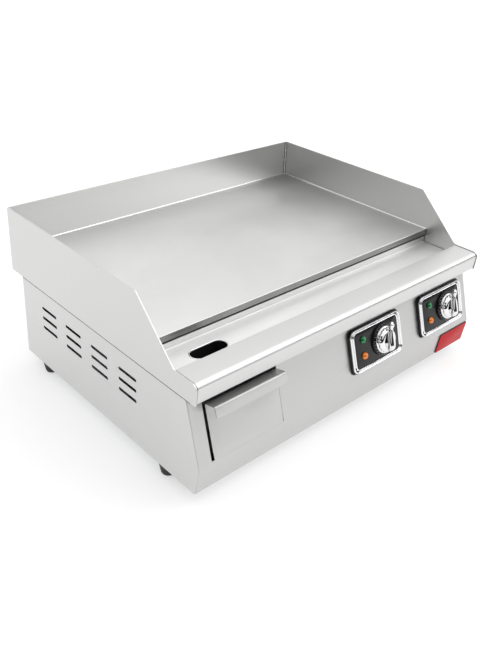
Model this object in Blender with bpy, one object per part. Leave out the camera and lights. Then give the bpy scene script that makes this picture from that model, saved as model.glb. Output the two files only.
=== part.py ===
"""Countertop electric griddle: two heating zones, splash guards, grease trough and removable grease drawer.

Metres, +Z up, +X to the operator's right, -Y towards the operator. The feet stand on Z = 0.
"""

import math

import bmesh
import bpy
import numpy as np
from mathutils import Matrix, Vector

MM = 0.001

# Overall sizes. Depths are measured back from the front rail's nose, heights up from the body's bottom edge.
WIDTH = 600 * MM
FOOT_HEIGHT = 20 * MM
GUARD_TOP = 240 * MM
GUARD_BOTTOM = 136 * MM
GUARD_BACK = 455 * MM
GUARD_CORNER = 120 * MM
GUARD_THICK = 2.0 * MM
BODY_BACK = 427 * MM
SIDE_HALF = WIDTH / 2 - GUARD_THICK - 0.3 * MM
SIDE_THICK = 1.2 * MM
SIDE_TOP = 145 * MM
GAP = 0.3 * MM
KNOB_REACH = 22.3 * MM

# Front rail, trough and plate
RAIL_TOP = 165 * MM
RAIL_BACK = 43.5 * MM
RAIL_THICK = 1.5 * MM
NOSE_RADIUS = 8 * MM
NOSE_LEAN = 2 * MM
HEM = 6 * MM
TROUGH_FLOOR = 149.5 * MM
TROUGH_BACK = 103.8 * MM
TROUGH_LIP = 161.4 * MM
PLATE_TOP = 173.6 * MM
PLATE_THICK = 10.4 * MM
PLATE_FRONT = 102.5 * MM
DRAIN_X = -221 * MM
DRAIN_Y = 71 * MM
DRAIN_LONG = 58 * MM
DRAIN_WIDE = 23 * MM

# Slanted control panel: the bend and the top of its outer face
BEND_Y = -4.8 * MM
BEND_Z = 41.0 * MM
PANEL_TOP_Y = 23.4 * MM
PANEL_FOOT_Y = 1.2 * MM
PANEL_THICK = 1.2 * MM
SLANT = math.atan2(PANEL_TOP_Y - BEND_Y, GUARD_BOTTOM - BEND_Z)

# Drawer, in panel widths and heights up the slope from the bend
OPENING = (-275.0 * MM, -148.0 * MM, 3.0 * MM, 90.0 * MM)
DRAWER_FRONT = (-271.6 * MM, -149.6 * MM, 3.8 * MM, 80.0 * MM)
HANDLE_REACH = 20 * MM
HANDLE_LIP = 14.5 * MM
DRAWER_BOX_X = (-268.5 * MM, -153.0 * MM)
DRAWER_BOX_BACK = 192 * MM
DRAWER_BOX_Z = (48.0 * MM, 115.5 * MM)

# Controls
ZONE_X = 145 * MM
BEZEL_X = (53.5 * MM, 220.2 * MM)
BEZEL_S = 46.8 * MM
BEZEL_SIZE = (117 * MM, 67.5 * MM)
BEZEL_INNER = (100 * MM, 55.5 * MM)
BEZEL_DEPTH = 8 * MM
KNOB_OFFSET = 13 * MM
KNOB_TURN = math.radians(-10)
LAMP_OFFSET = (-31 * MM, 12.5 * MM)
LAMP_LIFT = 1.5 * MM
GRIP_LOW = 12.7 * MM
SHAFT_RADIUS = 3.0 * MM

# Side slots
SLOT_LONG = 41.5 * MM
SLOT_HIGH = 5.0 * MM
SLOT_Y = (145.6 * MM, 213.5 * MM, 281.4 * MM, 349.3 * MM)
SLOT_Z = (70.4 * MM, 87.0 * MM, 103.6 * MM)

FOOT_X = 283 * MM
FOOT_Y = (74 * MM, 380 * MM)

# The middle of the whole depth, from the knob faces to the guard's back, becomes Y = 0.
MIDDLE = (GUARD_BACK - KNOB_REACH) / 2

SIDES = (("left", -1), ("right", 1))

COLLECTIONS = {}
MATERIALS = {}


def clear_scene():
    for obj in list(bpy.data.objects):
        bpy.data.objects.remove(obj, do_unlink=True)
    for old in list(bpy.data.collections):
        bpy.data.collections.remove(old)


def make_collections():
    scene = bpy.context.scene
    for key, name in (("part", "electric_griddle"), ("cutters", "cutters")):
        made = bpy.data.collections.new(name)
        scene.collection.children.link(made)
        COLLECTIONS[key] = made
    COLLECTIONS["cutters"].hide_render = True


def material(name, colour, roughness, metallic):
    if name not in MATERIALS:
        made = bpy.data.materials.new(name)
        made.use_nodes = True
        shader = made.node_tree.nodes["Principled BSDF"]
        shader.inputs["Base Color"].default_value = (*colour, 1.0)
        shader.inputs["Roughness"].default_value = roughness
        shader.inputs["Metallic"].default_value = metallic
        made.diffuse_color = (*colour, 1.0)
        MATERIALS[name] = made
    return MATERIALS[name]


def steel():
    return material("brushed_stainless", (0.62, 0.62, 0.61), 0.35, 1.0)


def plate_steel():
    return material("ground_steel", (0.55, 0.55, 0.54), 0.42, 1.0)


def galvanised():
    return material("galvanised_steel", (0.48, 0.50, 0.51), 0.5, 1.0)


def chrome():
    return material("chrome", (0.80, 0.80, 0.81), 0.08, 1.0)


def black_plastic():
    return material("black_plastic", (0.02, 0.02, 0.02), 0.35, 0.0)


def rubber():
    return material("black_rubber", (0.03, 0.03, 0.03), 0.75, 0.0)


def world(point):
    """A point given as (x, depth from the nose, height above the body's bottom) in object coordinates."""
    return Vector((point[0], point[1] - MIDDLE, point[2] + FOOT_HEIGHT))


def finish(name, bm, mat, key="part", place=None, smooth=False):
    """Makes one object from the bmesh, whose points are (x, depth, height) unless place is given."""
    bmesh.ops.remove_doubles(bm, verts=bm.verts, dist=1e-6)
    bmesh.ops.recalc_face_normals(bm, faces=bm.faces)
    mesh = bpy.data.meshes.new(name)
    if place is None:
        for vert in bm.verts:
            vert.co = world(vert.co)
    bm.to_mesh(mesh)
    bm.free()
    obj = bpy.data.objects.new(name, mesh)
    if place is not None:
        obj.matrix_world = place
    if smooth:
        mesh.shade_smooth()
    if mat is not None:
        mesh.materials.append(mat)
    COLLECTIONS[key].objects.link(obj)
    if key == "cutters":
        obj.hide_render = True
        obj.display_type = "WIRE"
    return obj


def add_box(bm, low, high):
    size = Vector(high) - Vector(low)
    middle = (Vector(high) + Vector(low)) / 2
    matrix = Matrix.Translation(middle) @ Matrix.Diagonal((*size, 1.0))
    bmesh.ops.create_cube(bm, size=1.0, matrix=matrix)


def box(name, low, high, mat, key="part", place=None):
    bm = bmesh.new()
    add_box(bm, low, high)
    return finish(name, bm, mat, key, place)


def add_loft(bm, loops, closed=False):
    """Joins loops of the same number of points. Open lofts get a face at each end."""
    rings = [[bm.verts.new(Vector(p)) for p in loop] for loop in loops]
    count = len(rings[0])
    pairs = list(zip(rings, rings[1:]))
    if closed:
        pairs.append((rings[-1], rings[0]))
    for one, two in pairs:
        for i in range(count):
            j = (i + 1) % count
            bm.faces.new((one[i], one[j], two[j], two[i]))
    if not closed:
        bm.faces.new(list(reversed(rings[0])))
        bm.faces.new(rings[-1])


def loft(name, loops, mat, key="part", place=None, closed=False, smooth=False):
    bm = bmesh.new()
    add_loft(bm, loops, closed)
    return finish(name, bm, mat, key, place, smooth)


def prism(name, outline, low, high, mat, axis="X", key="part", place=None):
    """An outline pushed along one axis. For X it holds (y, z) points, for Y (x, z) and for Z (x, y)."""
    order = {"X": (2, 0, 1), "Y": (0, 2, 1), "Z": (0, 1, 2)}[axis]
    loops = []
    for level in (low, high):
        loops.append([tuple((a, b, level)[i] for i in order) for a, b in outline])
    return loft(name, loops, mat, key, place)


def sheet(path, thick):
    """The closed outline of a folded sheet. The path is its seen face, and the metal lies to the path's left."""
    points = [Vector(p) for p in path]
    normals = []
    for one, two in zip(points, points[1:]):
        run = (two - one).normalized()
        normals.append(Vector((-run.y, run.x)))
    inner = []
    for i, point in enumerate(points):
        before = normals[max(i - 1, 0)]
        after = normals[min(i, len(normals) - 1)]
        bisector = (before + after).normalized()
        inner.append(point + bisector * thick / bisector.dot(after))
    return [tuple(p) for p in points] + [tuple(p) for p in reversed(inner)]


def arc(centre, radius, start, end, steps):
    """Points of an arc, with angles in degrees."""
    angles = np.radians(np.linspace(start, end, steps + 1))
    return [(centre[0] + radius * math.cos(a), centre[1] + radius * math.sin(a)) for a in angles]


def rounded(half_x, half_y, radius, steps=4, centre=(0.0, 0.0)):
    """A rounded rectangle as (x, y) points, anticlockwise."""
    out = []
    corners = ((1, 1, 0), (-1, 1, 90), (-1, -1, 180), (1, -1, 270))
    for sx, sy, turn in corners:
        middle = (centre[0] + sx * (half_x - radius), centre[1] + sy * (half_y - radius))
        out.extend(arc(middle, radius, turn, turn + 90, steps))
    return out


def obround(long, wide, steps=8, centre=(0.0, 0.0)):
    """A slot outline, long in its first coordinate."""
    shift = (long - wide) / 2
    right = arc((centre[0] + shift, centre[1]), wide / 2, -90, 90, steps)
    left = arc((centre[0] - shift, centre[1]), wide / 2, 90, 270, steps)
    return right + left


def circle(radius, height, steps):
    return [
        (radius * math.cos(2 * math.pi * i / steps), radius * math.sin(2 * math.pi * i / steps), height)
        for i in range(steps)
    ]


def add_lathe(bm, profile, steps=24):
    """A turned solid about local Z. The profile is (radius, height) points, and its ends lie on the axis."""
    rings = []
    for radius, height in profile:
        if radius < 1e-9:
            rings.append([bm.verts.new((0.0, 0.0, height))])
        else:
            rings.append([bm.verts.new(p) for p in circle(radius, height, steps)])
    for one, two in zip(rings, rings[1:]):
        for i in range(steps):
            j = (i + 1) % steps
            face = []
            for vert in (one[i % len(one)], one[j % len(one)], two[j % len(two)], two[i % len(two)]):
                if vert not in face:
                    face.append(vert)
            if len(face) > 2:
                bm.faces.new(face)


def lathe(name, profile, mat, place, steps=24, key="part"):
    bm = bmesh.new()
    add_lathe(bm, profile, steps)
    return finish(name, bm, mat, key, place)


def ring_lathe(name, profile, mat, place, steps=24, key="part"):
    """A turned ring about local Z whose profile is a closed outline clear of the axis."""
    loops = []
    for i in range(steps):
        a = 2 * math.pi * i / steps
        loops.append([(r * math.cos(a), r * math.sin(a), h) for r, h in profile])
    return loft(name, loops, mat, key, place, closed=True)


def tube(name, path, radii, mat, steps=8):
    """A round bar along a path, with one radius at each point and a flat face at each end."""
    points = [Vector(p) for p in path]
    if not hasattr(radii, "__len__"):
        radii = [radii] * len(points)
    tangents = []
    for i in range(len(points)):
        before = points[max(i - 1, 0)]
        after = points[min(i + 1, len(points) - 1)]
        tangents.append((after - before).normalized())
    side = tangents[0].orthogonal().normalized()
    loops = []
    for point, tangent, radius in zip(points, tangents, radii):
        side = (side - tangent * side.dot(tangent)).normalized()
        other = tangent.cross(side)
        loop = []
        for k in range(steps):
            a = 2 * math.pi * k / steps
            loop.append(point + (side * math.cos(a) + other * math.sin(a)) * radius)
        loops.append(loop)
    return loft(name, loops, mat)


def soften(points, radius, steps=4):
    """Replaces each inner corner of a path by an arc-like curve."""
    points = [Vector(p) for p in points]
    out = [points[0]]
    for before, corner, after in zip(points, points[1:], points[2:]):
        one = (before - corner).normalized()
        two = (after - corner).normalized()
        reach = min(radius, (before - corner).length * 0.49, (after - corner).length * 0.49)
        for k in range(steps + 1):
            t = k / steps
            start = corner + one * reach
            end = corner + two * reach
            out.append(start * (1 - t) ** 2 + corner * 2 * t * (1 - t) + end * t ** 2)
    out.append(points[-1])
    return out


def cut(obj, cutter, operation="DIFFERENCE"):
    modifier = obj.modifiers.new(operation.lower(), "BOOLEAN")
    modifier.object = cutter
    modifier.operation = operation
    modifier.solver = "EXACT"


def panel_point(x, up, out):
    """A point of the slanted panel, given across, up the slope from the bend, and outwards, in world space."""
    y = BEND_Y + up * math.sin(SLANT) - out * math.cos(SLANT)
    z = BEND_Z + up * math.cos(SLANT) + out * math.sin(SLANT)
    return world((x, y, z))


def panel_place(x, up):
    """A matrix whose X runs across the panel, Y up its slope and Z outwards."""
    across = Vector((1.0, 0.0, 0.0))
    slope = Vector((0.0, math.sin(SLANT), math.cos(SLANT)))
    outward = across.cross(slope)
    turn = Matrix((across, slope, outward)).transposed().to_4x4()
    return Matrix.Translation(panel_point(x, up, 0.0)) @ turn


def side_outline():
    """The body's side profile as (depth, height) points."""
    top_y = BEND_Y + (SIDE_TOP - BEND_Z) * math.tan(SLANT)
    return [
        (PANEL_FOOT_Y, 0.0),
        (BODY_BACK, 0.0),
        (BODY_BACK, SIDE_TOP),
        (top_y, SIDE_TOP),
        (BEND_Y, BEND_Z),
    ]


def nose_path(grow=0.0):
    """The rail's top, nose and front face from its back edge to its bottom edge."""
    radius = NOSE_RADIUS + grow
    centre = (NOSE_RADIUS, RAIL_TOP - NOSE_RADIUS)
    path = arc(centre, radius, 90, 184, 8)
    path.append((NOSE_LEAN - grow, GUARD_BOTTOM + 1 * MM - grow))
    return path


def make_side_panels():
    for side, sign in SIDES:
        outer = sign * SIDE_HALF
        inner = sign * (SIDE_HALF - SIDE_THICK)
        name = side + "_side_panel"
        panel = prism(name, side_outline(), min(outer, inner), max(outer, inner), steel())
        bm = bmesh.new()
        for y in SLOT_Y:
            for z in SLOT_Z:
                outline = obround(SLOT_LONG, SLOT_HIGH, 5, (y, z))
                loops = [[(x, a, b) for a, b in outline] for x in (outer - 4 * MM, outer + 4 * MM)]
                add_loft(bm, loops)
        cutter = finish(name + "_slots", bm, None, "cutters")
        cut(panel, cutter)


def make_base_pan():
    path = [(425.2 * MM, 14 * MM), (425.2 * MM, 0.0), (22 * MM, 0.0), (22 * MM, 14 * MM)]
    outline = sheet(list(reversed(path)), SIDE_THICK)
    half = SIDE_HALF - SIDE_THICK - GAP
    pan = prism("base_pan", outline, -half, half, galvanised())
    bm = bmesh.new()
    for x in (-FOOT_X, FOOT_X):
        for y in FOOT_Y:
            bmesh.ops.create_cone(
                bm, cap_ends=True, segments=12, radius1=2.6 * MM, radius2=2.6 * MM, depth=8 * MM,
                matrix=Matrix.Translation((x, y, 0.0)),
            )
    for i in range(7):
        for y in (235 * MM, 300 * MM):
            outline = obround(30 * MM, 5 * MM, 4, ((i - 3) * 60 * MM, y))
            add_loft(bm, [[(a, b, z) for a, b in outline] for z in (-4 * MM, 4 * MM)])
    cutter = finish("base_pan_holes", bm, None, "cutters")
    cut(pan, cutter)


def make_front_panel():
    top_y = BEND_Y + (SIDE_TOP - BEND_Z) * math.tan(SLANT)
    path = [
        (40 * MM, SIDE_TOP), (top_y, SIDE_TOP), (BEND_Y, BEND_Z),
        (PANEL_FOOT_Y, 0.0), (20 * MM, 0.0),
    ]
    half = SIDE_HALF - SIDE_THICK - GAP
    panel = prism("front_panel", sheet(path, PANEL_THICK), -half, half, steel())
    bm = bmesh.new()
    low_x, high_x, low_s, high_s = OPENING
    place = panel_place(0.0, 0.0)
    add_box(bm, (low_x, low_s, -8 * MM), (high_x, high_s, 8 * MM))
    for bezel in BEZEL_X:
        holes = [(bezel + KNOB_OFFSET, BEZEL_S, 6 * MM)]
        for side in (-1, 1):
            up = BEZEL_S + LAMP_LIFT + side * LAMP_OFFSET[1]
            holes.append((bezel + LAMP_OFFSET[0], up, 5.0 * MM))
        for x, up, radius in holes:
            bmesh.ops.create_cone(
                bm, cap_ends=True, segments=20, radius1=radius, radius2=radius, depth=16 * MM,
                matrix=Matrix.Translation((x, up, 0.0)),
            )
    cutter = finish("front_panel_holes", bm, None, "cutters", place)
    cut(panel, cutter)


def make_rear_panel():
    half = SIDE_HALF - SIDE_THICK - GAP
    panel = box(
        "rear_panel", (-half, BODY_BACK - 1.2 * MM, 0.0), (half, BODY_BACK, SIDE_TOP), steel()
    )
    bm = bmesh.new()
    turn = Matrix.Rotation(math.pi / 2, 4, "X")
    for x, z, radius in ((200 * MM, 40 * MM, 8.2 * MM), (150 * MM, 40 * MM, 3.4 * MM)):
        bmesh.ops.create_cone(
            bm, cap_ends=True, segments=20, radius1=radius, radius2=radius, depth=12 * MM,
            matrix=Matrix.Translation((x, BODY_BACK, z)) @ turn,
        )
    for i in range(6):
        for z in SLOT_Z:
            outline = obround(SLOT_LONG, SLOT_HIGH, 5, ((i - 3.2) * 68 * MM, z))
            loops = [[(a, y, b) for a, b in outline] for y in (BODY_BACK - 6 * MM, BODY_BACK + 6 * MM)]
            add_loft(bm, loops)
    cutter = finish("rear_panel_holes", bm, None, "cutters")
    cut(panel, cutter)


def make_front_rail():
    path = [
        (TROUGH_BACK, TROUGH_LIP),
        (TROUGH_BACK, TROUGH_FLOOR + 1.5 * MM),
        (TROUGH_BACK - 1.5 * MM, TROUGH_FLOOR),
        (RAIL_BACK + 3 * MM, TROUGH_FLOOR),
        (RAIL_BACK + 1 * MM, TROUGH_FLOOR + 2 * MM),
        (RAIL_BACK, RAIL_TOP - 1 * MM),
        (RAIL_BACK - 1 * MM, RAIL_TOP),
    ]
    path += nose_path()
    path.append((NOSE_LEAN + HEM, GUARD_BOTTOM + 1 * MM))
    half = WIDTH / 2 - GUARD_THICK - GAP
    rail = prism("front_rail", sheet(path, RAIL_THICK), -half, half, steel())
    outline = obround(DRAIN_LONG, DRAIN_WIDE, 8, (DRAIN_X, DRAIN_Y))
    cutter = prism(
        "drain_hole", outline, TROUGH_FLOOR - 6 * MM, TROUGH_FLOOR + 4 * MM, None, "Z", "cutters"
    )
    cut(rail, cutter)


def guard_outline():
    lift = 0.8 * MM
    points = [(GUARD_BACK, GUARD_BOTTOM)]
    points.append((GUARD_BACK, GUARD_TOP - 2 * MM))
    points.append((GUARD_BACK - 2 * MM, GUARD_TOP))
    points.append((GUARD_CORNER + 3 * MM, GUARD_TOP))
    points.append((GUARD_CORNER + 0.2 * MM, GUARD_TOP - 1 * MM))
    points.append((GUARD_CORNER - 2 * MM, GUARD_TOP - 3 * MM))
    points.append((RAIL_BACK + 2 * MM, RAIL_TOP + lift + 2 * MM))
    points.append((RAIL_BACK - 1 * MM, RAIL_TOP + lift + 0.4 * MM))
    points.append((RAIL_BACK - 4 * MM, RAIL_TOP + lift))
    points += nose_path(lift)[:-1]
    points.append((NOSE_LEAN - lift, GUARD_BOTTOM))
    return points


def make_guards():
    for side, sign in SIDES:
        ends = sorted((sign * WIDTH / 2, sign * (WIDTH / 2 - GUARD_THICK)))
        prism(side + "_splash_guard", guard_outline(), ends[0], ends[1], steel())
    path = [
        (GUARD_BACK, GUARD_TOP),
        (GUARD_BACK, GUARD_BOTTOM + 1.5 * MM),
        (GUARD_BACK - 1.5 * MM, GUARD_BOTTOM),
        (BODY_BACK + GAP, GUARD_BOTTOM),
    ]
    outline = sheet(list(reversed(path)), GUARD_THICK)
    half = WIDTH / 2 - GUARD_THICK - GAP
    prism("rear_splash_guard", outline, -half, half, steel())


def make_plate():
    half = WIDTH / 2 - GUARD_THICK - GAP
    back = GUARD_BACK - GUARD_THICK - GAP
    edge = 0.8 * MM
    outline = [
        (PLATE_FRONT, PLATE_TOP - PLATE_THICK),
        (back, PLATE_TOP - PLATE_THICK),
        (back, PLATE_TOP),
        (PLATE_FRONT + edge, PLATE_TOP),
        (PLATE_FRONT, PLATE_TOP - edge),
    ]
    prism("griddle_plate", outline, -half, half, plate_steel())


def make_plate_supports():
    top = PLATE_TOP - PLATE_THICK - GAP
    for side, sign in SIDES:
        outer = SIDE_HALF - SIDE_THICK - GAP
        path = [
            (sign * (outer - 20 * MM), top),
            (sign * outer, top),
            (sign * outer, 112 * MM),
        ]
        if sign > 0:
            path.reverse()
        outline = sheet(path, 1.5 * MM)
        prism("plate_support_" + side, outline, 112 * MM, 420 * MM, galvanised(), "Y")


def make_heating():
    for side, sign in SIDES:
        middle = sign * ZONE_X
        level = 158.8 * MM
        legs = (-105, -35, 35, 105)
        front = 160 * MM
        back = 365 * MM
        path = [Vector((middle + legs[0] * MM, 400 * MM, 118 * MM))]
        path.append(Vector((middle + legs[0] * MM, 400 * MM, level)))
        turns = []
        for i, (one, two) in enumerate(zip(legs, legs[1:])):
            y = front if i % 2 == 0 else back
            swing = -1 if i % 2 == 0 else 1
            centre = middle + (one + two) / 2 * MM
            radius = (two - one) / 2 * MM
            for k in range(9):
                a = math.pi * (1 - k / 8)
                turns.append(Vector((centre + radius * math.cos(a), y + swing * radius * math.sin(a), level)))
        last = middle + legs[3] * MM
        path = soften(path + [turns[0]], 12 * MM)[:-1] + turns
        tail = [turns[-1], Vector((last, 400 * MM, level)), Vector((last, 400 * MM, 118 * MM))]
        path += soften(tail, 12 * MM)[1:]
        tube("heating_element_" + side, path, 4 * MM, material("element_sheath", (0.12, 0.13, 0.12), 0.55, 1.0))
        low = level - 4 * MM - GAP - 2.5 * MM
        box(
            "element_clamp_" + side,
            (middle - 125 * MM, 262 * MM, low), (middle + 125 * MM, 284 * MM, low + 2.5 * MM), galvanised(),
        )


def terminal_holes(name, low, high):
    bm = bmesh.new()
    for _, sign in SIDES:
        for leg in (-105 * MM, 105 * MM):
            bmesh.ops.create_cone(
                bm, cap_ends=True, segments=16, radius1=7 * MM, radius2=7 * MM, depth=high - low,
                matrix=Matrix.Translation((sign * ZONE_X + leg, 400 * MM, (low + high) / 2)),
            )
    return finish(name, bm, None, "cutters")


def make_insulation():
    outline = [(-294.2 * MM, 149 * MM), (-294.2 * MM, 136.8 * MM), (294.2 * MM, 136.8 * MM), (294.2 * MM, 149 * MM)]
    pan = prism("reflector_pan", sheet(outline, 1.0 * MM), 113 * MM, 420 * MM, galvanised(), "Y")
    cut(pan, terminal_holes("reflector_holes", 130 * MM, 145 * MM))
    pad = box(
        "insulation_pad", (-290 * MM, 116 * MM, 138.1 * MM), (290 * MM, 417 * MM, 149.5 * MM),
        material("insulation", (0.80, 0.76, 0.66), 0.95, 0.0),
    )
    cut(pad, terminal_holes("insulation_holes", 135 * MM, 155 * MM))


def make_drain_spout():
    low = 119 * MM
    high = TROUGH_FLOOR - RAIL_THICK - GAP
    loops = []
    for grow, z in ((3.0, high), (3.0, high - 1.2 * MM), (1.6, high - 1.2 * MM), (1.6, low), (0.4, low), (0.4, high)):
        outline = obround(DRAIN_LONG + 2 * grow * MM, DRAIN_WIDE + 2 * grow * MM, 6, (DRAIN_X, DRAIN_Y))
        loops.append([(a, b, z) for a, b in outline])
    loft("drain_spout", loops, steel(), closed=True)


def make_drawer():
    low_x, high_x, low_s, high_s = DRAWER_FRONT
    face = 1.5 * MM
    lip = HANDLE_REACH
    path = [
        (-lip, high_s - HANDLE_LIP - 1 * MM),
        (-lip, high_s - 2.5 * MM),
        (-lip + 1.5 * MM, high_s - 1 * MM),
        (-face - 1.2 * MM, high_s),
        (-GAP, high_s),
        (-GAP, low_s),
    ]
    thick = 1.2 * MM
    outline = sheet(list(reversed(path)), thick)
    bm = bmesh.new()
    loops = []
    for x in (low_x, high_x):
        loops.append([(x, b, -a) for a, b in outline])
    add_loft(bm, loops)
    finish("drawer_front", bm, steel(), "part", panel_place(0.0, 0.0))
    make_drawer_box()


def make_drawer_box():
    low_z, high_z = DRAWER_BOX_Z
    low_x, high_x = DRAWER_BOX_X
    back = DRAWER_BOX_BACK
    slope = math.tan(SLANT)

    def front(z, inset):
        return BEND_Y + (z - BEND_Z) * slope + inset / math.cos(SLANT)

    outer = [(front(low_z, 0.0), low_z), (back, low_z), (back, high_z), (front(high_z, 0.0), high_z)]
    tray = prism("drawer_box", outer, low_x, high_x, steel())
    wall = 1.0 * MM
    floor = low_z + wall
    top = high_z + 10 * MM
    inner = [(front(floor, wall), floor), (back - wall, floor), (back - wall, top), (front(top, wall), top)]
    cutter = prism("drawer_hollow", inner, low_x + wall, high_x - wall, None, "X", "cutters")
    cut(tray, cutter)


def make_drawer_guides():
    """Folded brackets: a fence outside the drawer, a shelf under it, a leg and a foot flange."""
    top = DRAWER_BOX_Z[0] - 0.5 * MM
    thick = 1.0 * MM
    foot = SIDE_THICK + GAP + thick
    for side, x, sign in (("left", DRAWER_BOX_X[0], 1), ("right", DRAWER_BOX_X[1], -1)):
        outer = x - sign * 1.5 * MM
        inner = x + sign * 12 * MM
        path = [(outer, top + 14 * MM), (outer, top), (inner, top), (inner, foot), (inner + sign * 10 * MM, foot)]
        outline = sheet(path, -sign * thick)
        prism("drawer_guide_" + side, outline, 24 * MM, 205 * MM, galvanised(), "Y")


def make_controls():
    for (side, _), x in zip(SIDES, BEZEL_X):
        place = panel_place(x, BEZEL_S)
        gasket = []
        for half_x, half_y, radius, z in (
            (BEZEL_SIZE[0] / 2 + 0.8 * MM, BEZEL_SIZE[1] / 2 + 0.8 * MM, 7 * MM, GAP),
            (BEZEL_SIZE[0] / 2 + 0.8 * MM, BEZEL_SIZE[1] / 2 + 0.8 * MM, 7 * MM, 1.1 * MM),
            (BEZEL_INNER[0] / 2 - 2 * MM, BEZEL_INNER[1] / 2 - 2 * MM, 4 * MM, 1.1 * MM),
            (BEZEL_INNER[0] / 2 - 2 * MM, BEZEL_INNER[1] / 2 - 2 * MM, 4 * MM, GAP),
        ):
            gasket.append([(a, b, z) for a, b in rounded(half_x, half_y, radius)])
        loft("bezel_gasket_" + side, gasket, rubber(), place=place, closed=True)
        make_bezel(side, place)
        make_insert(side, place)
        make_lamps(side, x)
        make_knob(side, x + KNOB_OFFSET)


def make_bezel(side, place):
    wide, high = BEZEL_SIZE[0] / 2, BEZEL_SIZE[1] / 2
    in_x, in_y = BEZEL_INNER[0] / 2, BEZEL_INNER[1] / 2
    low = 1.4 * MM
    rings = (
        (wide, high, 7.0 * MM, low),
        (wide - 0.3 * MM, high - 0.3 * MM, 7.0 * MM, 4.8 * MM),
        (wide - 1.2 * MM, high - 1.0 * MM, 6.5 * MM, 6.9 * MM),
        (wide - 2.8 * MM, high - 2.2 * MM, 6.0 * MM, 7.9 * MM),
        (wide - 5.0 * MM, high - 3.6 * MM, 5.5 * MM, 8.0 * MM),
        (in_x + 1.2 * MM, in_y + 1.0 * MM, 5.2 * MM, 7.0 * MM),
        (in_x, in_y, 5.0 * MM, 5.6 * MM),
        (in_x, in_y, 5.0 * MM, low),
    )
    loops = []
    for half_x, half_y, radius, z in rings:
        loops.append([(a, b, z) for a, b in rounded(half_x, half_y, radius)])
    loft("control_bezel_" + side, loops, chrome(), place=place, closed=True)


def make_insert(side, place):
    outline = rounded(BEZEL_INNER[0] / 2 - GAP, BEZEL_INNER[1] / 2 - GAP, 4.7 * MM)
    insert = prism("bezel_insert_" + side, outline, 1.4 * MM, 5.0 * MM, black_plastic(), "Z", place=place)
    bm = bmesh.new()
    holes = [(KNOB_OFFSET, 0.0, 4.5 * MM)]
    for sign in (-1, 1):
        holes.append((LAMP_OFFSET[0], LAMP_LIFT + sign * LAMP_OFFSET[1], 4.2 * MM))
    for x, y, radius in holes:
        bmesh.ops.create_cone(
            bm, cap_ends=True, segments=20, radius1=radius, radius2=radius, depth=20 * MM,
            matrix=Matrix.Translation((x, y, 0.0)),
        )
    cutter = finish("insert_holes_" + side, bm, None, "cutters", place)
    cut(insert, cutter)


def make_lamps(side, x):
    colours = (
        ("green", 1, (0.0, 0.35, 0.08)),
        ("amber", -1, (0.85, 0.28, 0.02)),
    )
    profile = [(0.0, -14 * MM), (3.6 * MM, -14 * MM), (3.6 * MM, 5.3 * MM), (5.6 * MM, 5.3 * MM)]
    profile += [(5.6 * MM, 6.5 * MM), (5.1 * MM, 7.8 * MM), (3.8 * MM, 8.9 * MM), (2.0 * MM, 9.5 * MM)]
    profile.append((0.0, 9.7 * MM))
    for colour, sign, tint in colours:
        place = panel_place(x + LAMP_OFFSET[0], BEZEL_S + LAMP_LIFT + sign * LAMP_OFFSET[1])
        mat = material("lens_" + colour, tint, 0.12, 0.0)
        lathe("lamp_" + colour + "_" + side, profile, mat, place, 20)


def make_knob(side, x):
    place = panel_place(x, BEZEL_S) @ Matrix.Rotation(KNOB_TURN, 4, "Z")
    dial = [(4.2 * MM, 5.4 * MM), (24.6 * MM, 5.4 * MM), (25.0 * MM, 6.2 * MM), (24.0 * MM, 8.6 * MM)]
    dial += [(21.6 * MM, 9.2 * MM), (4.2 * MM, 9.2 * MM)]
    ring_lathe("dial_ring_" + side, dial, black_plastic(), place, 32)
    body = [(0.0, 17.0 * MM), (3.2 * MM, 17.0 * MM), (3.2 * MM, 9.5 * MM), (20.6 * MM, 9.5 * MM)]
    body += [(20.9 * MM, 11.5 * MM), (20.6 * MM, 13.8 * MM), (19.2 * MM, 16.6 * MM), (16.6 * MM, 18.6 * MM)]
    body += [(13.6 * MM, 19.4 * MM), (0.0, 19.8 * MM)]
    knob = lathe("control_knob_" + side, body, chrome(), place, 32)
    outline = []
    for centre, radius, start, end in (((0.0, -GRIP_LOW), 5.5 * MM, 180, 360), ((0.0, 24.5 * MM), 4.2 * MM, 0, 180)):
        outline += arc(centre, radius, start, end, 8)
    loops = []
    for inset, z in ((0.3, 16.5), (0.0, 18.0), (0.0, 24.6), (0.6, 26.2), (2.0, 27.4)):
        scaled = []
        for a, b in outline:
            spine = min(max(b, -GRIP_LOW), 24.5 * MM)
            radius = math.hypot(a, b - spine)
            factor = max(radius - inset * MM, 0.2 * MM) / radius
            scaled.append((a * factor, spine + (b - spine) * factor, z * MM))
        loops.append(scaled)
    grip = loft("grip_" + side, loops, None, "cutters", place)
    cut(knob, grip, "UNION")
    lathe(
        "knob_shaft_" + side,
        [(0.0, -2.4 * MM), (SHAFT_RADIUS, -2.4 * MM), (SHAFT_RADIUS, 16.2 * MM), (0.0, 16.2 * MM)],
        material("shaft_steel", (0.5, 0.5, 0.5), 0.3, 1.0), place, 16,
    )
    make_thermostat(side, x, place)


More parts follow.
